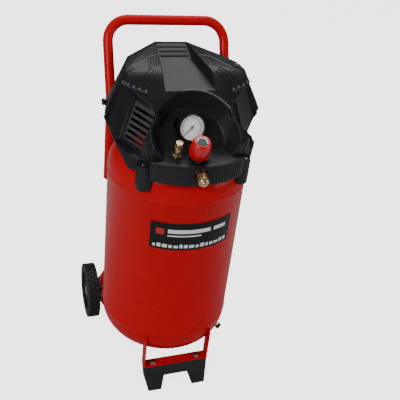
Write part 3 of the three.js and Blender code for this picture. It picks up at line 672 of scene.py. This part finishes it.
class COMPRESSOR_OT_handle(bpy.types.Operator):
    """Bent tube handle welded to the tank"""

    bl_idname = "compressor.handle"
    bl_label = "Handle"

    def execute(self, context):
        radius, half, foot_z, bend_z, top_z, corner = 11.8, 143.7, 491.0, 701.0, 867.2, 50.0
        lean = math.radians(25)
        tank_r = in_mm(context.scene.compressor_tank.radius)
        clearance, curve = 0.35, 18  # off the shell, and either side of the bend
        leg_y = math.sqrt((tank_r + clearance + radius) ** 2 - half**2)
        top_y = leg_y + (top_z - bend_z) * math.tan(lean)
        slope = Vector((0, math.sin(lean), math.cos(lean)))
        bend = Vector((half, leg_y, bend_z))
        peak = Vector((half, top_y, top_z))
        start = Vector((half, leg_y, foot_z))

        def curved(controls, count):
            """Points along the Bezier curve of its control points."""
            out = []
            for i in range(count + 1):
                row = controls
                while len(row) > 1:
                    row = [a.lerp(b, i / count) for a, b in zip(row, row[1:])]
                out += row
            return out

        into_bend = bend - Vector((0, 0, curve))
        side = [start.lerp(into_bend, i / 8) for i in range(8)]
        side += curved([into_bend, bend, bend + slope * curve], 8)
        below, inner = peak - slope * corner, peak - Vector((corner, 0, 0))
        near = 0.45  # how far the control points stay from the sharp corner
        side += curved([below, peak.lerp(below, near), peak.lerp(inner, near), inner], 18)
        points = side + [Vector((-p.x, p.y, p.z)) for p in reversed(side)]
        square_to_lean = Vector((0, math.cos(lean), -math.sin(lean)))
        bm = sweep(points, circle_section(radius, 28), up=square_to_lean)
        tube = finished("handle_bar", bm, "enamel", smooth=50)
        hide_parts("handle_tube")
        # Weld runs where each leg meets the tank.
        welds, weld_low, weld_length, ripples = [], 497, 60, 39
        for side_sign in (-1, 1):
            away = Vector((side_sign * half, leg_y, 0)).normalized()
            across = Vector((-away.y, away.x, 0))
            for turn in (-1, 1):
                path = []
                for i in range(ripples + 1):
                    aside = turn * (4.8 + 0.4 * math.sin(i * 1.9))
                    up = Vector((0, 0, weld_low + weld_length * i / ripples))
                    path.append(away * (tank_r + 1.3) + across * aside + up)
                welds.append(sweep(path, circle_section(2.4, 8), up=away))
        finished("handle_welds", join_bm(welds), "enamel")
        return {"FINISHED"}


class COMPRESSOR_OT_wheels(bpy.types.Operator):
    """Tyres with tread blocks, ribbed hubs, and the brackets and clips of their axle"""

    bl_idname = "compressor.wheels"
    bl_label = "Wheels"

    def execute(self, context):
        size = context.scene.compressor_wheels
        r, w = in_mm(size.radius), in_mm(size.width)
        hub_r = r * 0.68
        block_depth, block_share = 6.8, 0.66  # of a block, and of its pitch that it fills
        pitch = 2 * math.pi / size.lugs
        spoke_z, spoke_thick, spoke_tall = w - 17, 3.0, 9.0
        tyre = [
            (hub_r + 0.4, 3), (hub_r + 2, 1.2), (hub_r + 8, 0.6), (r - 12, 0), (r - 6, 0.8),
            (r - 3.2, 4), (r - 3, w / 2), (r - 3.2, w - 4), (r - 6, w - 0.8), (r - 12, w),
            (hub_r + 8, w - 0.6), (hub_r + 2, w - 1.2), (hub_r + 0.4, w - 3),
        ]
        hub = [
            (6.6, 5), (14, 5), (14, 9), (hub_r - 7, 11), (hub_r - 4, 4.6), (hub_r, 4),
            (hub_r, w - 9), (hub_r - 3.5, w - 9), (hub_r - 6, w - 14), (hub_r - 12, w - 17),
            (20, w - 16), (16, w - 8), (14, w - 7.2), (6.6, w - 7.2),
        ]
        for side, name in ((-1, "left"), (1, "right")):
            body = "wheel_" + name
            place = (
                TO_METRES
                @ Matrix.Translation((side * (TYRE_FACE - w), AXLE_FROM_AXIS, r))
                @ Matrix.Rotation(side * math.pi / 2, 4, "Y")
            )
            carcass = lathe(tyre, 120, closed=True)
            blocks = []
            for row, (low, high, phase) in enumerate((
                (1.2, 10.6, 0.0), (11.8, 21.2, 0.5), (22.4, 31.8, 0.0),
            )):
                made = block_ring(
                    "rubber", count=size.lugs, radius=r - 3.6,
                    block=(block_depth, pitch * r * block_share, high - low),
                )
                turn = Matrix.Rotation(phase * pitch, 4, "Z")
                blocks.append(rounded(raised(moved(made, turn), (low + high) / 2), 0.7))
            whole = join_bm([carcass] + blocks)
            # The blocks stay inside the wheel's own radius.
            limit = r - 0.05
            for v in whole.verts:
                reach = math.hypot(v.co.x, v.co.y)
                if reach > limit:
                    v.co.x *= limit / reach
                    v.co.y *= limit / reach
            piece = finished("tyre_" + name, whole, "rubber", body, place)
            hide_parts("wheel_tyre_" + name)
            spokes = block_ring(
                "hub", count=10, radius=(hub_r + 14) / 2 - 3,
                block=(hub_r - 26, spoke_thick, spoke_tall),
            )
            spokes = rounded(raised(spokes, spoke_z), 0.6)
            centre = join_bm([lathe(hub, 96, closed=True), spokes])
            piece = finished("hub_" + name, centre, "hub", body, place)
            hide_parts("wheel_hub_" + name)
            softened("wheel_bracket_" + name, 0.8, "enamel")
            softened("axle_clip_" + name, 0.4, "zinc")
        return {"FINISHED"}


class COMPRESSOR_OT_foot(bpy.types.Operator):
    """Front bracket, rubber foot, its bolts and the drain"""

    bl_idname = "compressor.foot"
    bl_label = "Foot"

    def execute(self, context):
        softened("foot_bracket", 1.1, "enamel")
        softened("rubber_foot", 3.2, "rubber", segments=3)
        for name in ("left", "right"):
            softened("foot_bolt_" + name, 0.5, "zinc")
        softened("drain_valve_body", 0.5, "brass")
        softened("drain_knob", 0.9, "gloss", "drain_handle")
        return {"FINISHED"}


class COMPRESSOR_OT_hood(bpy.types.Operator):
    """Faceted plastic hood with its louvres, ribs, beads, grilles and screws"""

    bl_idname = "compressor.hood"
    bl_label = "Hood"

    def execute(self, context):
        size = context.scene.compressor_hood
        slots = []
        for i in range(4):  # each louvre stands higher, further back and wider than the last
            y, z, half = 92 + i * 12.5, 808 + i * 6.6, 33 + 0.8 * i
            slots.append(box_bm(-half, half, y - 14, y + 5.5, z, z + 5.2))
        cutter = new_object("louvres", mesh_from("louvres", join_bm(slots)))

        def build(work):
            cut = work.modifiers.new("louvres", "BOOLEAN")
            cut.object = cutter
            cut.solver = "EXACT"
            add_bevel(work, in_mm(size.edge), 3, 24)

        bm = with_modifiers(node_copy("hood_shell"), build)
        bpy.data.objects.remove(cutter)
        self.surface = BVHTree.FromBMesh(bm)
        shell = finished("hood_cover", bm, "hood", smooth=22)
        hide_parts("hood_shell")
        self.beads()
        self.ribs()
        self.bays()
        self.skirt(size.skirt_ribs)
        for name in ("left", "right"):
            softened("vent_grille_" + name, 0.5, "grille")
        for name in ("front_left", "front_right", "rear_left", "rear_right"):
            softened("hood_screw_" + name, 0.5, "zinc")
        return {"FINISHED"}

    def draped(self, start, end, width, height, count):
        """A rounded rib laid over the hood from one plan point to another."""
        points, ups, above, cliff = [], [], 900, 14
        for i in range(count + 1):
            x, y = (a + (b - a) * (i / count) for a, b in zip(start, end))
            hit, normal, _, _ = self.surface.ray_cast(Vector((x, y, above)), Vector((0, 0, -1)))
            if hit is None or (points and abs(hit.z - points[-1].z) > cliff):
                break
            points.append(hit)
            ups.append(normal)
        if len(points) < 3:
            return None
        mean = sum(ups, Vector()).normalized()
        ups = [mean] * len(ups)
        h, side, sunk = width / 2, height * 0.8, -0.6
        section = [(-h, sunk), (-h * 0.7, side), (0, height), (h * 0.7, side), (h, sunk)]
        return sweep(points, section, up=ups)

    def beads(self):
        """The bead that follows the rim of the console recess, and an arch round the coupler."""
        middle, rim_r, flare, gap = Vector((0, -85, 687)), 99.0, 0.4, 26
        out = Vector((0, -math.sqrt(0.5), math.sqrt(0.5)))
        slope = Vector((0, math.sqrt(0.5), math.sqrt(0.5)))
        runs = {"hood": [], "hood_bead": []}
        # The middle run of the rim bead takes the lighter grey, a painted highlight; its ends take
        # the hood's own finish.
        for key, first, last in (("hood", -112, -12), ("hood_bead", -12, 84), ("hood", 84, 112)):
            points, ups = [], []
            for angle in range(first, last + 1, 3):
                a = math.radians(angle)
                away = Vector((math.sin(a), 0, 0)) + slope * math.cos(a)
                rim, hit = rim_r, None
                for _ in range(6):  # the recess widens outwards, so the rim is found in steps
                    start = middle + away * (rim + 3) + out * 260
                    hit, normal, _, _ = self.surface.ray_cast(start, -out)
                    if hit is None:
                        break
                    rim = rim_r + flare * max(0, (hit - middle).dot(out) - 35)
                if hit is None or (points and (hit - points[-1]).length > gap):
                    continue
                points.append(hit)
                ups.append(normal)
            if len(points) > 3:
                section = [(-2.8, -1.5), (-2.2, 0.8), (0, 1.6), (2.2, 0.8), (2.8, -1.5)]
                runs[key].append(sweep(points, section, up=ups))
        arch, ups, steps = [], [], 24
        for i in range(steps + 1):
            t = -1 + 2 * i / steps
            rise = 40 * (1 - abs(t) ** 3)
            point = polar(-1 + 10.5 * t, SKIRT_R + 0.4, 624 + rise)
            arch.append(point)
            ups.append(Vector((point.x, point.y, 0)).normalized())
        runs["hood"].append(sweep(arch, [(-2, -1), (-1.4, 1.2), (1.4, 1.2), (2, -1)], up=ups))
        for key, parts in runs.items():
            finished("recess_rim_" + key, join_bm(parts), key)

    def ribs(self):
        """Raised ribs over the shoulders, laid on the hood's faces."""
        made, bright = [], []
        for side in (-1, 1):

            def rib(into, start, end, width=2.2, height=1.3, count=10):
                ends = [(side * x, y) for x, y in (start, end)]
                bar = self.draped(*ends, width, height, count)
                if bar:
                    into.append(bar)

            for k in range(5):  # fine ribs beside the valley
                rib(made, (47 + k * 6, 92 - k * 3), (57 + k * 6, 22 - k * 3))
            for k in range(6):  # long ribs over the outer top face
                rib(made, (56 + k * 3, 104 - k * 9), (112 + k * 1.5, 74 - k * 9), 2.0, 1.1)
            for k in range(3):  # long ribs running down to the bay
                rib(made, (66 + k * 6.5, -4 + k * 6), (94 + k * 6, -34 + k * 6), 2.4, 1.6)
            for k in range(5):  # short steps on the shoulder
                rib(made, (116 + k * 2.5, 6 + k * 8), (133 + k * 0.5, -4 + k * 8), 3.0, 1.8, 5)
            # The beads along the shoulder ridge take the lighter grey, a painted highlight.
            rib(bright, (48, 70), (76, 58), 3.2, 1.6)
            rib(bright, (76, 58), (108, 8), 3.2, 1.6)
        finished("shoulder_beads", join_bm(bright), "hood_bead")
        finished("hood_ribs", join_bm(made), "rib")

    def bays(self):
        """A rounded frame round each side bay, and the studded face below it."""
        bay_angle, bay_lean, bay_r, bay_z = 66, -20, 126, 715
        start_off, deepest, shallowest, jump = 90, 92, 20, 16  # of a ray cast at the bay
        corners = [
            (-66, -50), (-66, 52), (-52, 66), (50, 66), (62, 52), (62, -40), (50, -60), (-54, -62),
        ]
        section = [(-3.6, -1), (-3.0, 1.2), (-1, 2.2), (1, 2.2), (3.0, 1.2), (3.6, -1)]
        frames, studs, teeth = [], [], []
        for side in (-1, 1):
            turn = Matrix.Rotation(side * math.radians(bay_angle) - math.pi / 2, 3, "Z")
            lean = turn @ Matrix.Rotation(math.radians(bay_lean), 3, "Y")
            middle = turn @ Vector((bay_r, 0, 0)) + Vector((0, 0, bay_z))

            def onto(across, rise):
                """The hood's surface at a point of the bay's own face, and how far in it lies."""
                start = middle + lean @ Vector((start_off, side * across, rise))
                hit, normal, _, far = self.surface.ray_cast(start, lean @ Vector((-1, 0, 0)))
                return hit, normal, far

            def standing(hit, normal):
                facing = normal.to_track_quat("Z", "Y").to_matrix().to_4x4()
                return Matrix.Translation(hit) @ facing

            runs = [[]]  # of the frame, which breaks where the bay's face falls away
            for i, (a, b) in enumerate(corners):
                c, d = corners[(i + 1) % len(corners)]
                steps = max(2, int(math.hypot(c - a, d - b) / 5))
                for j in range(steps):
                    hit, normal, far = onto(a + (c - a) * j / steps, b + (d - b) * j / steps)
                    last = runs[-1][-1][0] if runs[-1] else hit
                    if hit is None or far > deepest or (hit - last).length > jump:
                        runs.append([])
                    else:
                        runs[-1].append((hit, normal))
            for run in runs:
                if len(run) > 4:
                    points, ups = map(list, zip(*run))
                    frames.append(sweep(points, section, up=ups))
            for k in range(6):  # teeth along the frame's top, lighter as a painted highlight
                hit, normal, far = onto(4 + k * 8.5, 69)
                if hit is not None and shallowest < far < deepest:
                    tooth = box_bm(-2.6, 2.6, -4.5, 4.5, -1.5, 1.8, standing(hit, normal))
                    teeth.append(rounded(tooth, 0.8))
            for row in range(11):
                for column in range(19):
                    across = -58 + column * 6.4 + (row % 2) * 3.2
                    hit, normal, _ = onto(across, -58 - row * 5.6)
                    if hit is None or normal.dot(lean @ Vector((1, 0, 0))) < 0.4:
                        continue
                    studs.append(box_bm(-2, 2, -1.6, 1.6, -0.5, 1.0, standing(hit, normal)))
        finished("bay_frames", join_bm(frames), "rib")
        finished("bay_teeth", join_bm(teeth), "hood_bead")
        finished("bay_studs", join_bm(studs), "rib")

    def skirt(self, count):
        """Fine upright ribs round the front of the skirt."""
        middle_z, front, coupler_gap = 645, 34.5, 7  # mm, and degrees each way
        bm = block_ring("hood", count=count, radius=SKIRT_R, block=(1.8, 1.6, 38.0))
        gone = []
        for v in bm.verts:
            angle = math.degrees(math.atan2(v.co.x, -v.co.y))
            if abs(angle) > front or abs(angle + 1) < coupler_gap:
                gone.append(v)
        bmesh.ops.delete(bm, geom=gone, context="VERTS")
        finished("skirt_ribs", raised(bm, middle_z), "rib")


class COMPRESSOR_OT_console(bpy.types.Operator):
    """Pressure gauge, regulator knob, safety valve and quick coupler"""

    bl_idname = "compressor.console"
    bl_label = "Console"

    def execute(self, context):
        self.gauge()
        self.knob()
        self.valve()
        self.coupler()
        softened("regulator_body", 0.6, "gloss")
        softened("pressure_switch", 1.5, "gloss")
        softened("power_knob", 1.0, "gloss", "power_button")
        softened("cable_gland", 0.6, "rubber")
        return {"FINISHED"}

    def gauge(self):
        place = leaned(*GAUGE)
        r, dial_top, ink_top = 30.5, -7.2, -7.08
        case = [
            (0, -34), (6, -34), (6, -26), (r - 3, -26), (r - 0.6, -24), (r - 0.4, -6), (r, -5),
            (r, -1), (r - 0.8, 0), (r - 2.2, 0), (r - 2.9, -1.2), (r - 2.9, -9.4), (0, -9.4),
        ]
        piece = finished("gauge_body", lathe(case, 112), "gloss", matrix=place)
        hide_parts("gauge_case")
        dial_r = r - 3
        disc = [(0, -8.2), (dial_r, -8.2), (dial_r, dial_top), (0, dial_top)]
        piece = finished("gauge_face", lathe(disc, 96), "dial", matrix=place)
        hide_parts("gauge_dial")
        # The scale runs 270 degrees, with its zero at the lower left.
        zero, scale, divisions, figure_r = 225, 270, 50, 25.0
        marks = []
        for i in range(divisions + 1):
            length, width = (4.4, 0.9) if i % 5 == 0 else (2.4, 0.45)
            turn = Matrix.Rotation(math.radians(zero - scale * i / divisions), 4, "Z")
            h = width / 2
            marks.append(box_bm(21.5 - length, 21.5, -h, h, dial_top - 0.02, ink_top, turn))
        for radius, width in ((22.0, 0.6), (13.2, 0.4)):
            arc = arc_points(radius, ink_top - 0.07, zero - scale, zero, 3)
            h = width / 2
            marks.append(sweep(arc, [(-h, -0.07), (h, -0.07), (h, 0.07), (-h, 0.07)]))
        finished("gauge_scale", join_bm(marks), "ink", matrix=place)
        figures = []
        for i in range(6):
            angle = math.radians(zero - scale * i / 5)
            text = bpy.data.curves.new("figure", "FONT")
            text.body = str(2 * i)
            text.size = 5.2
            text.align_x = text.align_y = "CENTER"
            text.extrude = 0.06
            text.resolution_u = 3
            holder = new_object("figure", text)
            shown = holder.evaluated_get(bpy.context.evaluated_depsgraph_get())
            bm = bmesh_from(bpy.data.meshes.new_from_object(shown))
            bpy.data.objects.remove(holder)
            spot = (figure_r * math.cos(angle), figure_r * math.sin(angle), ink_top - 0.06)
            figures.append(moved(bm, Matrix.Translation(spot)))
        finished("gauge_figures", join_bm(figures), "ink", matrix=place)
        softened("gauge_needle", 0.15, "gloss", "needle", segments=1)
        repaint("gauge_lens", "lens")

    def knob(self):
        place, body = leaned(*REGULATOR), "regulator_handle"
        r, low, high = 23.0, 8.0, 48.0
        cup = [
            (0, low), (r - 3, low), (r - 1, low + 0.6), (r - 0.2, low + 2.4), (r, low + 5),
            (r, low + 15), (r - 0.5, low + 20), (r - 2.2, high - 6), (r - 3.2, high - 2.6),
            (r - 4.6, high - 0.8), (r - 6.6, high), (13.2, high), (12.6, high - 0.6),
            (12.5, high - 2.5), (0, high - 2.5),
        ]
        piece = finished("regulator_cup", lathe(cup, 128), "knob", body, place)
        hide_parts("regulator_knob")
        cap = [
            (0, high - 2.2), (11.6, high - 2.2), (12.1, high - 1.7), (12.1, high - 0.9),
            (11.4, high - 0.5), (9.4, high - 0.6), (8.6, high - 1.2), (0, high - 1.4),
        ]
        piece = finished("regulator_cap", lathe(cap, 96), "gloss", body, place)
        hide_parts("knob_cap")
        arc = arc_points(10.6, high - 0.5, -30, 170, 5)
        band = sweep(arc, [(-1.3, -0.2), (1.3, -0.2), (1.3, 0.12), (-1.3, 0.12)])
        finished("knob_direction", band, "print_white", body, place)

    def valve(self):
        place = leaned(*VALVE)
        top = 27.0
        body = [
            (0, -4), (7.2, -4), (7.4, -3.4), (7.4, 3.4), (7.2, 4), (7.2, 9), (6.8, 9.6),
            (6.8, 10.6), (7.4, 11.2), (7.4, 21), (7.0, 21.6), (7.0, 22.6), (7.8, 23.2), (8, 23.8),
            (8, top - 0.5), (7.5, top), (3.4, top), (3.2, top - 0.4), (3.2, top - 12),
            (0, top - 12),
        ]
        hexagon = [(0, -3.6), (8.6, -3.6), (9, -3), (9, 3), (8.6, 3.6), (0, 3.6)]
        parts = [lathe(body, 64), rounded(lathe(hexagon, 6), 0.3)]
        piece = finished("relief_valve", join_bm(parts), "brass", matrix=place)
        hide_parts("safety_valve_body")
        pull = [
            (0, top - 10), (2.6, top - 10), (2.6, top + 0.35), (6.9, top + 0.35),
            (7.2, top + 0.8), (7.2, 34.8), (6.8, 35.3), (7.2, 36), (7.6, 36.4), (7.6, 38),
            (7.2, 38.6), (5.2, 38.9), (4.4, 37.2), (0, 37),
        ]
        piece = finished("relief_pull", lathe(pull, 64), "brass", "valve_pull", place)
        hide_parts("safety_valve_pull")

    def coupler(self):
        place = leaned(*COUPLER)
        softened("outlet_nut", 0.7, "zinc")
        start = 30.7
        end = start + 39
        body = [
            (0, start), (9, start), (9.5, start + 0.6), (9.5, start + 5.4), (9, start + 6),
            (7.8, start + 6.4), (7.8, end - 3), (7.4, end - 0.8), (6.8, end), (4.4, end),
            (4, end - 0.6), (4, end - 26), (0, end - 26),
        ]
        piece = finished("coupler_core", lathe(body, 72), "brass", matrix=place)
        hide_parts("coupler_body")
        s = start + 12
        sleeve = [
            (8.2, s), (10, s), (10.7, s + 0.6), (11.2, s + 2.6), (11.2, s + 4), (10.7, s + 4.5),
            (10.7, s + 5.5), (11.3, s + 6), (11.3, s + 15), (10.7, s + 15.5), (10.7, s + 16.5),
            (12, s + 17.4), (12, s + 20), (11.4, s + 22.6), (10, s + 24), (8.2, s + 24),
        ]
        knurl = block_ring("brass", count=44, radius=11.2, block=(0.9, 0.7, 8.6))
        collar = join_bm([lathe(sleeve, 88, closed=True), raised(knurl, s + 10.5)])
        piece = finished("coupler_collar", collar, "brass", "outlet_sleeve", place)
        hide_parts("coupler_sleeve")


class COMPRESSOR_OT_pump(bpy.types.Operator):
    """Finishes of the axle, and of the motor and pump seen through the grilles"""

    bl_idname = "compressor.pump"
    bl_label = "Pump"

    def execute(self, context):
        for finish, nodes in {
            "steel": "axle_rod pump_platform motor_stator rotor_shaft crank_disc valve_plate",
            "aluminium": "crankcase motor_bell_left motor_bell_right piston_rod cylinder"
            " cylinder_head run_capacitor",
            "rubber": "rubber_mount_1 rubber_mount_2 rubber_mount_3 rubber_mount_4",
            "gloss": "cooling_fan intake_filter",
            "copper": "discharge_tube",
            "brass": "check_valve",
        }.items():
            for node in nodes.split():
                repaint(node, finish)
        return {"FINISHED"}


class COMPRESSOR_PT_panel(bpy.types.Panel):
    """The pieces of the compressor, in the order they are made"""

    bl_idname = "COMPRESSOR_PT_panel"
    bl_label = "Air compressor"
    bl_space_type = "VIEW_3D"
    bl_region_type = "UI"
    bl_category = "Compressor"

    def draw(self, context):
        for operator in OPERATORS:
            self.layout.operator(operator.bl_idname)
        for name in SETTINGS:
            group = getattr(context.scene, name)
            for key in group.__annotations__:
                self.layout.prop(group, key)


SETTINGS = {
    "compressor_finish": FinishSettings,
    "compressor_tank": TankSettings,
    "compressor_wheels": WheelSettings,
    "compressor_hood": HoodSettings,
    "compressor_stage": StageSettings,
}
OPERATORS = (
    COMPRESSOR_OT_stage,
    COMPRESSOR_OT_tank,
    COMPRESSOR_OT_handle,
    COMPRESSOR_OT_wheels,
    COMPRESSOR_OT_foot,
    COMPRESSOR_OT_hood,
    COMPRESSOR_OT_console,
    COMPRESSOR_OT_pump,
)


def register():
    for kind in (*SETTINGS.values(), *OPERATORS, COMPRESSOR_PT_panel):
        bpy.utils.register_class(kind)
    for name, kind in SETTINGS.items():
        setattr(bpy.types.Scene, name, bpy.props.PointerProperty(type=kind))


def unregister():
    for name in SETTINGS:
        delattr(bpy.types.Scene, name)
    for kind in reversed((*SETTINGS.values(), *OPERATORS, COMPRESSOR_PT_panel)):
        bpy.utils.unregister_class(kind)


def main():
    register()
    make_finishes()
    bpy.ops.compressor.stage()
    bpy.ops.compressor.tank()
    bpy.ops.compressor.handle()
    bpy.ops.compressor.wheels()
    bpy.ops.compressor.foot()
    bpy.ops.compressor.hood()
    bpy.ops.compressor.console()
    bpy.ops.compressor.pump()


if __name__ == "__main__":
    main()
